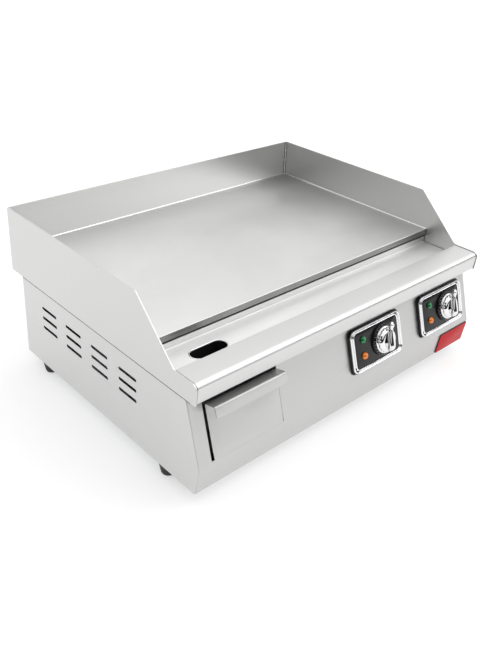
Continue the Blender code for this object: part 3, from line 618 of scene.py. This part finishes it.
def make_rail():
    """The folded rail: trough lip and floor, step, top, rounded nose and hemmed front, as one sheet."""
    top, nose, half = 165 * MM, 8 * MM, 296.7 * MM
    back = [(103.8, 159.6), (103.8, 149.5), (45.4, 149.5), (43.6, 165.0), (8.0, 165.0)]
    front = [(0.6, 150.0), (2.0, 137.0), (8.0, 137.0)]
    path = fillet([(y * MM, z * MM) for y, z in back], 1.8 * MM, 5)[:-1]
    path += arc((nose, top - nose), nose, 90, 184, 20)
    path += fillet([(y * MM, z * MM) for y, z in front], 1.2 * MM, 4)[1:]
    rail = across_front("front_rail_sheet", sheet(path, SHEET_THICK), -half, half, STEEL_RAIL,
                        replaces=("front_rail",), slot="brushed_stainless")
    # painted light: the trough floor's faces take the lighter copy of the steel, where its reflection of the
    # plate's dark edge would darken it
    floor_level = TROUGH_FLOOR + FOOT
    second_material(rail, STEEL_TROUGH_PAINTED_LIGHT,
                    lambda face: abs(face.center.z - floor_level) < 1.9 * MM and face.normal.z > 0.5)

    # painted shadow: dark bars in the gaps between the sheet's ends and the side guards
    groove = offset(path, 0.45 * MM) + offset(path, 1.4 * MM)[::-1]
    for side, start in (("left", -297.9 * MM), ("right", 296.75 * MM)):
        across_front("rail_shadow_line_" + side, groove, start, start + 1.15 * MM, RUBBER, slot="brushed_stainless")

    loops = []
    for z in (TROUGH_FLOOR - 8 * MM, TROUGH_FLOOR + 6 * MM):
        loops.append([tuple(world(a, b, z)) for a, b in obround(*DRAIN_SIZE, DRAIN)])
    cut(rail, loft("drain_cutter", loops, None, body=None))
    make_drain_rim()


def make_drain_rim():
    """A low polished bead round the drain hole, nearly flat below."""
    edge = 1.2 * MM
    loops = []
    for grow, lift in arc((0.0, 0.0), 1.0 * MM, 0, 360, 12)[:-1]:
        long, wide = (size + edge + 2 * grow for size in DRAIN_SIZE)
        z = TROUGH_FLOOR + max(lift, -0.4 * MM) * 0.7
        loops.append([tuple(world(a, b, z)) for a, b in obround(long, wide, DRAIN)])
    loft("drain_rim", loops, SEAM, closed=True, slot="brushed_stainless")


def strip(name, low, high):
    """A dark bar between two corners, in millimetres: painted shadow along a gap."""
    low, high = Vector(low) * MM, Vector(high) * MM
    size = high - low
    matrix = Matrix.Translation(world(*(low + size / 2))) @ Matrix.Diagonal((*size, 1.0))
    bm = bmesh.new()
    bmesh.ops.create_cube(bm, size=1.0, matrix=matrix)
    # painted shadow: the black rubber colour fills a gap where there is only shade, not a real seal
    bevel(finish(name, bm, RUBBER, slot="black_rubber", smooth=30), 0.15 * MM)


def make_shadow_lines():
    """Painted shadow lines: dark bars under each side guard's lower edge, and between the plate and the
    trough's lip.
    """
    strip("guard_shadow_line_left", (-299.2, 12, 133.9), (-297.8, 424, 135.9))
    strip("guard_shadow_line_right", (297.8, 12, 133.9), (299.2, 424, 135.9))
    strip("plate_shadow_line", (-296, 105.6, 157), (296, 107, 163))


def bead(name, start, end, out_a, out_b):
    """A convex weld bead: a quarter circle from one wall to the other."""
    radius = 1.6 * MM
    a, b = Vector(out_a), Vector(out_b)
    section = [(0.0, 0.0)] + arc((0.0, 0.0), radius, 0, 90, 6)
    loops = [[tuple(point + a * u + b * v) for u, v in section] for point in (start, end)]
    loft(name, loops, SEAM, slot="brushed_stainless")


def corner_seam(side, inward, level, back, top):
    """A polished upright rod in a guard's back corner, with a painted shadow behind it: a near-black wedge
    filling the corner.
    """
    x = -inward * GUARD_INSIDE
    middle = 2.0 * MM
    corner = ((0.0, 0.0), (2.9, 0.0), (1.6, 1.0), (1.0, 1.6), (0.0, 2.9))
    shadow_wedge = [(x + inward * a * MM, back - b * MM) for a, b in corner]
    rod_loops, shadow_wedge_loops = [], []
    for z in (level, top):
        rod = arc((x + inward * middle, back - middle), 1.2 * MM, 0, 360, 16)[:-1]
        rod_loops.append([tuple(world(a, b, z)) for a, b in rod])
        shadow_wedge_loops.append([tuple(world(a, b, z - 0.2 * MM)) for a, b in shadow_wedge])
    loft("seam_corner_" + side, rod_loops, SEAM, slot="brushed_stainless")
    loft("seam_shadow_" + side, shadow_wedge_loops, PAINTED_SHADE_STEEL, slot="brushed_stainless")


def make_seams():
    """Ground and polished weld beads where the plate meets the guards, and in the guards' back corners."""
    level, top = 173.0 * MM, 238.6 * MM
    front, back = 103.2 * MM, 453 * MM
    left_front, left_back = (world(-GUARD_INSIDE, y, level) for y in (front, back))
    right_front, right_back = (world(GUARD_INSIDE, y, level) for y in (front, back))
    up = (0, 0, 1)
    bead("seam_rear", left_back, right_back, (0, -1, 0), up)
    bead("seam_left", left_front, left_back, (1, 0, 0), up)
    bead("seam_right", right_front, right_back, (-1, 0, 0), up)
    corner_seam("left", 1, level, back, top)
    corner_seam("right", -1, level, back, top)


def make_drawer():
    """The folded front: face, pull shelf and rounded lip, as one sheet."""
    middle, half = -210.6 * MM, 61.0 * MM
    face_out, lip_out = 1.5 * MM, 20.0 * MM
    face_low, lip_low = 3.8 * MM, 64.5 * MM
    lip_corner = 4 * MM
    face_taper, face_rise = 0.6 * MM, 2 * MM
    hair = 0.1 * MM

    folds = [(face_out, face_low), (face_out, 80 * MM), (lip_out, 79 * MM), (lip_out, lip_low)]
    bends = fillet(folds, 1.8 * MM, 6)
    rows = []
    for one, two in zip(bends, bends[1:]):
        one, two = Vector(one), Vector(two)
        count = 6 if (two - one).length > 10 * MM else 1
        rows += [tuple(one.lerp(two, k / count)) for k in range(count)]
    corner_top = lip_low + lip_corner
    rows = [(out, up) for out, up in rows if out < lip_out - hair or up > corner_top + 2 * hair]
    rows += [(lip_out, lip_low + lip_corner * (1 - math.sin(math.radians(15 * k)))) for k in range(7)]

    bm = bmesh.new()
    grid = []
    for out, up in rows:
        inset = 0.0
        if out > lip_out - hair and up < corner_top:
            inset = lip_corner - math.sqrt(max(lip_corner ** 2 - (corner_top - up) ** 2, 0.0))
        if out < face_out + hair and up < face_low + face_rise:
            inset = face_taper * (1 - (up - face_low) / face_rise)
        xs = [middle + (half - inset) * t for t in (-1, -0.5, 0, 0.5, 1)]
        grid.append([bm.verts.new((x, up, out)) for x in xs])
    for one, two in zip(grid, grid[1:]):
        for i in range(4):
            bm.faces.new((one[i], one[i + 1], two[i + 1], two[i]))
    bmesh.ops.transform(bm, matrix=panel_place(0, 0), verts=bm.verts)
    front = finish("drawer_front_sheet", bm, STEEL_DRAWER, "drawer", replaces=("drawer_front",),
                   slot="brushed_stainless")
    # the sheet's cut rim takes the dark edge colour: painted shade, for dark edge lines
    front.data.materials.append(PLATE_OXIDE_AND_RIM_SHADE)
    thick = front.modifiers.new("sheet", "SOLIDIFY")
    thick.thickness = 1.2 * MM
    thick.offset = 1.0
    thick.material_offset_rim = 1
    thick.use_even_offset = True
    bevel(front, 0.2 * MM, 2, 50)


def make_controls():
    for side, x in BEZEL_X.items():
        place = panel_place(x, BEZEL_UP)
        make_bezel(side, place)
        make_insert(side, place)
        make_lamps(side, x)
        make_knob(side, x + KNOB_OFFSET)


def make_bezel(side, place):
    """A plated ring: an outer ridge and a fine bead round the insert, with its valley and skirt painted black
    as painted shade and painted dark reflection.
    """
    (out_x, out_y), (in_x, in_y) = BEZEL_HALF, INSERT_HALF
    out_corner, in_corner = 10.0 * MM, 6.5 * MM
    # each point's way in from the outer outline to the inner one, and its height
    section = [(0.0, 1.4), (0.0, 4.7), (0.03, 5.0), (0.08, 5.05)]
    for k in range(1, 9):
        t = math.radians(180 * k / 9)
        section.append((0.08 + 0.18 * (1 - math.cos(t)), 5.0 + 2.3 * math.sin(t) - 0.04 * k))
    section += [(0.48, 4.2), (0.52, 4.0), (0.66, 4.0), (0.70, 4.2), (0.74, 5.3), (0.79, 6.2), (0.87, 6.4),
                (0.94, 6.1), (0.98, 5.4), (1.0, 5.0), (1.0, 1.4)]
    loops = []
    for across, z in section:
        half_x = out_x + (in_x - out_x) * across
        half_y = out_y + (in_y - out_y) * across
        corner = out_corner + (in_corner - out_corner) * across
        loops.append([(a, b, z * MM) for a, b in rounded(half_x, half_y, corner, 8)])
    ring = loft("bezel_ring_" + side, loops, CHROME, closed=True, place=place,
                replaces=("control_bezel_" + side,), slot="chrome", smooth=50)
    points = ring.data.vertices
    # faces below the ridges take the black plastic: painted shade and reflection in the valley and on the
    # skirt
    second_material(ring, BLACK, lambda face: max(points[i].co.z for i in face.vertices) < 5.06 * MM)


def make_insert(side, place):
    """The glossy black plate inside the bezel, with holes for the knob's shaft and the lamps."""
    loops = []
    for inset, z in ((0.3, 1.4), (0.3, 4.5), (0.5, 4.85), (0.9, 5.0)):
        half_x, half_y = (half - inset * MM for half in INSERT_HALF)
        loops.append([(a, b, z * MM) for a, b in rounded(half_x, half_y, 6.2 * MM, 8)])
    insert = loft("insert_plate_" + side, loops, BLACK, place=place,
                  replaces=("bezel_insert_" + side,), slot="black_plastic")
    bm = bmesh.new()
    holes = [(KNOB_OFFSET, 0.0, 4.5 * MM)]
    holes += [(LAMP_X, up, 4.2 * MM) for up in LAMP_UP.values()]
    for x, y, radius in holes:
        bmesh.ops.create_cone(bm, cap_ends=True, segments=32, radius1=radius, radius2=radius, depth=20 * MM,
                              matrix=Matrix.Translation((x, y, 0.0)))
    cut(insert, finish("insert_cutter_" + side, bm, None, None, place))


def make_lamps(side, x):
    """Faceted jewel lenses, each with a fine black collar."""
    profile = ((3.4, -14.0), (3.4, 5.25), (5.5, 5.3), (5.6, 6.8), (4.4, 8.6), (2.2, 9.6))
    collar = [(5.4, 5.02), (6.1, 5.02), (6.1, 5.4), (5.8, 5.7), (5.4, 5.6)]
    facets = 8
    for colour, mat in (("green", GREEN), ("amber", AMBER)):
        place = panel_place(x + LAMP_X, BEZEL_UP + LAMP_UP[colour])
        loops = []
        for row, (radius, z) in enumerate(profile):
            stagger = math.pi / facets * (row % 2)
            loops.append([polar(radius, a + stagger, z) for a in circle(facets)])
        name = colour + "_" + side
        loft("lens_" + name, loops, mat, place=place, replaces=("lamp_" + name,), slot="lens_" + colour,
             smooth=12)
        ring_lathe("lamp_collar_" + name, collar, BLACK, 32, place=place, slot="black_plastic")


def make_knob(side, x):
    """A flat dial ring with white ticks, a grooved chrome barrel with a rounded shoulder, and the grip."""
    place = panel_place(x, BEZEL_UP) @ Matrix.Rotation(KNOB_TURN, 4, "Z")
    body = "knob_" + side
    dial = [(4.2, 5.4), (24.2, 5.4), (24.8, 5.7), (25.0, 6.3), (24.7, 7.4), (24.0, 8.4), (22.8, 9.0),
            (21.4, 9.2), (4.2, 9.2)]
    ring_lathe("dial_" + side, dial, DIAL, 72, place=place, body=body, replaces=("dial_ring_" + side,),
               slot="black_plastic")
    make_barrel(side, place, body)
    make_grip(side, place, body)
    make_dial_marks(side, place, body)


def make_barrel(side, place, body):
    """The barrel, with eighteen fine grooves that fade out towards its face."""
    # radius, height and how deep the grooves are there
    profile = [(3.2, 17.0, 0.0), (3.2, 9.5, 0.0), (20.4, 9.5, 0.0), (20.9, 10.0, 0.0), (20.8, 11.0, 0.0),
               (20.3, 11.6, 0.0), (19.6, 11.9, 0.3), (19.3, 12.4, 0.8)]
    for k in range(10):
        t = math.radians(9 * k)
        profile.append((11.0 + 8.2 * math.cos(t), 13.0 + 5.8 * math.sin(t), max(1.0 - 0.16 * k, 0.0)))
    profile += [(10.4, 18.85, 0.0), (7.0, 19.1, 0.0), (3.4, 19.4, 0.0)]
    loops = []
    for radius, z, groove in profile:
        ring = []
        for a in circle(144):
            dip = 0.9 * groove * (1 - abs(math.sin(9 * a)) ** 0.7)
            ring.append(polar(radius - dip, a, z))
        loops.append(ring)
    loft("knob_body_" + side, loops, CHROME, place=place, body=body, replaces=("control_knob_" + side,),
         slot="chrome", smooth=50)


def make_dial_marks(side, place, body):
    """Plain white ticks on the dial ring's slope, every third one longer, with a gap at the top."""
    bm = bmesh.new()
    for i in range(22):
        turn = Matrix.Rotation(math.radians(15 * i + 30), 4, "Z")
        long = 1.6 * MM if i % 3 == 0 else 1.0 * MM
        matrix = turn @ Matrix.Translation((0, 22.9 * MM - long / 2, 9.2 * MM))
        matrix = matrix @ Matrix.Rotation(math.radians(-14), 4, "X")
        matrix = matrix @ Matrix.Diagonal((0.35 * MM, long, 0.12 * MM, 1))
        bmesh.ops.create_cube(bm, size=1.0, matrix=matrix)
    finish("dial_marks_" + side, bm, WHITE_INK, body, place, slot="black_plastic", smooth=0)


def make_grip(side, place, body):
    """The leaf-shaped finger bar with a ridge along it, a neck, and a pointer bulb at its top end."""
    # up the knob, half width, underside and crest
    rows = ((-16.6, 1.0, 16.6, 19.6), (-15.2, 3.0, 16.0, 23.4), (-12.6, 4.8, 16.0, 26.4),
            (-9.0, 6.0, 16.0, 27.4), (-4.0, 6.8, 16.0, 26.8), (1.5, 6.6, 16.0, 25.9),
            (7.0, 5.4, 16.0, 25.0), (12.0, 3.7, 16.0, 24.3), (15.2, 2.5, 16.8, 23.9),
            (17.6, 2.2, 17.4, 23.9), (19.8, 3.0, 17.6, 24.8), (23.0, 4.2, 17.6, 25.8),
            (26.0, 4.0, 18.2, 25.2), (27.9, 2.5, 19.6, 24.0), (28.7, 0.9, 21.0, 22.8))
    # one side of the bar's section, underside to crest, as parts of the half width and of the height
    flank = ((1.0, 0.0), (1.02, 0.35), (0.96, 0.75), (0.78, 0.95), (0.22, 0.97), (0.05, 1.0))
    section = [(-across, rise) for across, rise in flank] + list(reversed(flank))
    loops = []
    for up, half, low, high in rows:
        loops.append([(half * across, up, low + (high - low) * rise) for across, rise in section])
    bm = bmesh.new()
    add_loft(bm, loops)
    cage = finish("grip_cage", bm, None, None)
    cage.modifiers.new("round", "SUBSURF").levels = 2
    mesh = evaluated_mesh(cage)
    bpy.data.objects.remove(cage)

    # subdivision draws the form in, so it is stretched back to the bar's true extents
    bm = bmesh.new()
    bm.from_mesh(mesh)
    points = np.array([v.co for v in bm.verts])
    low, high = points.min(0), points.max(0)
    goal_low, goal_high = np.array((-6.9, -16.8, 16.2)), np.array((6.9, 28.7, 27.4))
    for vert, point in zip(bm.verts, points):
        vert.co = Vector((goal_low + (point - low) / (high - low) * (goal_high - goal_low)) * MM)
    bmesh.ops.transform(bm, matrix=place, verts=bm.verts)
    finish("knob_grip_" + side, bm, CHROME, body, None, slot="chrome", smooth=60)


def make_badge():
    """A plain red plate with a raised rim and black sides, on the lower strip, which leans back."""
    lean = math.atan2(6.0, 41.0)
    up = Vector((0.0, -math.sin(lean), math.cos(lean)))
    outward = Vector((1.0, 0.0, 0.0)).cross(up)
    turn = Matrix((Vector((1, 0, 0)), up, outward)).transposed().to_4x4()
    middle = world(257.5 * MM, -1.8 * MM, 20.5 * MM)
    place = Matrix.Translation(middle + outward * 0.3 * MM) @ turn
    rows = ((0.0, 0.0), (0.0, 1.3), (0.25, 1.65), (0.7, 1.8), (1.4, 1.8), (1.7, 1.6), (2.1, 1.6), (2.4, 1.8))
    loops = []
    for inset, z in rows:
        outline = rounded((38 - inset) * MM, (18.5 - inset) * MM, 1.5 * MM, 5)
        loops.append([(a, b, z * MM) for a, b in outline])
    badge = loft("badge_enamel", loops, ENAMEL, place=place, replaces=("badge_plate",), slot="red_enamel")
    second_material(badge, BLACK, lambda face: face.normal.z < 0.3 and face.center.z < 1.5 * MM)


def make_feet():
    """Moulded rubber feet, tapered, with a rounded tread and a shallow groove."""
    section = [(2.9, -8.5), (6.0, -8.5), (6.0, -19.4), (6.5, -20.0), (8.4, -20.0), (9.6, -19.3),
               (10.2, -18.0), (10.9, -15.0), (11.9, -10.4), (11.7, -9.9), (12.0, -9.4), (13.7, -2.2),
               (13.9, -1.0), (13.5, -0.4), (2.9, -0.3)]
    for depth in ("front", "rear"):
        for side in ("left", "right"):
            name = "foot_" + depth + "_" + side
            low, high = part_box(name)
            place = Matrix.Translation(((low[0] + high[0]) / 2, (low[1] + high[1]) / 2, FOOT))
            ring_lathe("rubber_" + name, section, RUBBER, place=place, replaces=(name,), slot="black_rubber")


def make_gland():
    """The cable gland: a hexagon, a ribbed cap and an open bore."""
    place = Matrix.Translation(world(200 * MM, REAR, 40 * MM)) @ Matrix.Rotation(-math.pi / 2, 4, "X")
    rows = [(7.9, -12.0, "round"), (7.9, 0.3, "round"), (11.8, 0.3, "hexagon"), (12.0, 0.8, "hexagon"),
            (12.0, 5.4, "hexagon"), (11.4, 6.0, "hexagon"), (10.4, 6.2, "round"), (10.4, 7.0, "ribbed"),
            (10.5, 7.4, "ribbed"), (10.3, 14.6, "ribbed"), (9.4, 17.2, "round"), (8.2, 18.4, "round"),
            (4.7, 18.5, "round"), (4.5, 18.2, "round"), (4.5, -12.0, "round")]
    loops = []
    for radius, z, kind in rows:
        ring = []
        for i, a in enumerate(circle(48)):
            reach = radius
            if kind == "hexagon":
                reach = radius * math.cos(math.pi / 6) / math.cos((a % (math.pi / 3)) - math.pi / 6)
            elif kind == "ribbed" and i % 4 in (0, 1):
                reach = radius - 0.5
            ring.append(polar(reach, a, z))
        loops.append(ring)
    loft("gland_body", loops, DIAL, closed=True, place=place, replaces=("cable_gland",), slot="black_plastic",
         smooth=25)


def make_screws():
    """Pan-head screws with a cross recess on the rear panel and under the base pan."""
    places = []
    for x in (-285, -95, 95, 285):
        for z in (10, 128):
            places.append(("rear", world(x * MM, REAR, z * MM), Matrix.Rotation(-math.pi / 2, 4, "X")))
    for x in (-250, 0, 250):
        for y in (30, 418):
            places.append(("base", world(x * MM, y * MM, 0.0), Matrix.Rotation(math.pi, 4, "X")))
    head = ((3.6, 0.05), (3.7, 0.4), (3.4, 1.3), (2.6, 1.9), (1.7, 2.15))
    loops = [[polar(radius, a, z) for a in circle(16)] for radius, z in head]
    loops.append([polar(1.7 if k % 4 == 0 else 0.55, a, 1.1) for k, a in enumerate(circle(16))])
    for i, (group, point, turn) in enumerate(places):
        place = Matrix.Translation(point) @ turn @ Matrix.Rotation(0.5 * i, 4, "Z")
        loft(f"screw_{group}_{i}", loops, SEAM, place=place, slot="galvanised_steel", smooth=40)


# ---------------------------------------------------------------- stage, light and camera

def make_stage():
    """A plain pale floor that glows a little by itself, so that it stays white round the griddle's shadow."""
    bm = bmesh.new()
    bmesh.ops.create_grid(bm, x_segments=1, y_segments=1, size=FLOOR_SIZE)
    mesh = bpy.data.meshes.new("floor")
    bm.to_mesh(mesh)
    bm.free()
    floor = bpy.data.objects.new("floor", mesh)
    bpy.context.scene.collection.objects.link(floor)
    n = Nodes("pale_floor")
    tone = n.noise((2, 2, 2), 2.0)
    n.colour(n.span(tone, 0.0, 1.0), (0.55, 0.55, 0.55), (0.56, 0.56, 0.56))
    n.shader.inputs["Emission Color"].default_value = (1.0, 1.0, 1.0, 1.0)
    n.set(rough=0.9, spec=0.1, glow=FLOOR_GLOW)
    mesh.materials.append(n.material)


class Sky(Graph):
    """The studio's brightness in each direction."""

    def __init__(self, tree):
        super().__init__(tree)
        self.way = self.node("ShaderNodeTexCoord").outputs["Generated"]
        split = self.node("ShaderNodeSeparateXYZ")
        self.link(self.way, split.inputs[0])
        self.x, self.y, self.z = split.outputs

    def rise(self, source, start, end):
        """0 up to the start, 1 from the end on."""
        return self.span(source, 0.0, 1.0, start, end, "SMOOTHSTEP")

    def toward(self, direction, outer, inner):
        """1 within the inner angle of a direction, 0 beyond the outer one."""
        dot = self.node("ShaderNodeVectorMath")
        dot.operation = "DOT_PRODUCT"
        self.link(self.way, dot.inputs[0])
        dot.inputs[1].default_value = Vector(direction).normalized()
        return self.rise(dot.outputs["Value"], math.cos(math.radians(outer)), math.cos(math.radians(inner)))

    def change(self, level, mask, amount):
        """The level times 1 + amount where the mask is 1."""
        return self.math("MULTIPLY", level, self.math("ADD", self.math("MULTIPLY", mask, amount), 1.0))

    def band(self, low, low_full, high_full, high):
        """1 between two elevations, given by their sines."""
        fall = self.math("SUBTRACT", 1.0, self.rise(self.z, high_full, high))
        return self.math("MULTIPLY", self.rise(self.z, low, low_full), fall)

    def background(self, strength, colour=None):
        node = self.node("ShaderNodeBackground")
        self.feed(strength, node.inputs["Strength"])
        if colour is not None:
            node.inputs["Color"].default_value = colour
        return node.outputs["Background"]


def make_world():
    """A pale studio with dark and bright fields for the steel to mirror, and a white backdrop."""
    studio = bpy.data.worlds.new("studio")
    bpy.context.scene.world = studio
    studio.use_nodes = True
    studio.node_tree.nodes.clear()
    sky = Sky(studio.node_tree)
    level = sky.span(sky.z, SKY_LOW, SKY_HIGH, *SKY_RISE)
    ahead = sky.rise(sky.math("MULTIPLY", sky.y, -1.0), *SECTOR_AHEAD)
    ahead_right = sky.math("MULTIPLY", ahead, sky.rise(sky.x, *SECTOR_RIGHT))
    for (*edges, amount), sector in ((FLAG, ahead), (SOFTBOX, ahead_right)):
        level = sky.change(level, sky.math("MULTIPLY", sky.band(*edges), sector), amount)
    for direction, outer, inner, amount in STUDIO:
        level = sky.change(level, sky.toward(direction, outer, inner), amount)
    mixed = sky.node("ShaderNodeMixShader")
    sky.link(sky.node("ShaderNodeLightPath").outputs["Is Camera Ray"], mixed.inputs[0])
    sky.link(sky.background(level), mixed.inputs[1])
    sky.link(sky.background(BACKDROP, (1.0, 1.0, 1.0, 1.0)), mixed.inputs[2])
    sky.link(mixed.outputs["Shader"], sky.node("ShaderNodeOutputWorld").inputs["Surface"])


def make_light():
    """One large soft light overhead."""
    place = Vector((0.6, -0.3, 2.4))
    target = Vector((0, 0, 0.1))
    light = bpy.data.lights.new("overhead", "AREA")
    light.shape = "RECTANGLE"
    light.size = light.size_y = 1.6
    light.energy = OVERHEAD_POWER
    obj = bpy.data.objects.new("overhead", light)
    obj.location = place
    obj.rotation_euler = (target - place).to_track_quat("-Z", "Y").to_euler()
    bpy.context.scene.collection.objects.link(obj)


def make_camera():
    azimuth, elevation, roll = (math.radians(v) for v in CAMERA_ANGLES)
    flat = math.cos(elevation)
    back = Vector((math.sin(azimuth) * flat, -math.cos(azimuth) * flat, math.sin(elevation)))
    right = Vector((0, 0, 1)).cross(back).normalized()
    up = back.cross(right)
    x_axis = right * math.cos(roll) + up * math.sin(roll)
    y_axis = up * math.cos(roll) - right * math.sin(roll)
    camera = bpy.data.cameras.new("camera")
    camera.sensor_width = 36.0
    camera.lens = CAMERA_LENS
    camera.shift_x, camera.shift_y = CAMERA_SHIFT
    camera.clip_end = 100
    obj = bpy.data.objects.new("camera", camera)
    turn = Matrix((x_axis, y_axis, back)).transposed().to_4x4()
    obj.matrix_world = Matrix.Translation(CAMERA_PLACE) @ turn
    bpy.context.scene.collection.objects.link(obj)
    bpy.context.scene.camera = obj


paint_nodes()
make_plate()
make_rail()
make_shadow_lines()
make_seams()
make_drawer()
make_controls()
make_badge()
make_feet()
make_gland()
make_screws()
make_stage()
make_world()
make_light()
make_camera()
bpy.context.scene.view_settings.view_transform = "Standard"
bpy.context.scene.view_settings.look = "None"

bpy.context.view_layer.update()
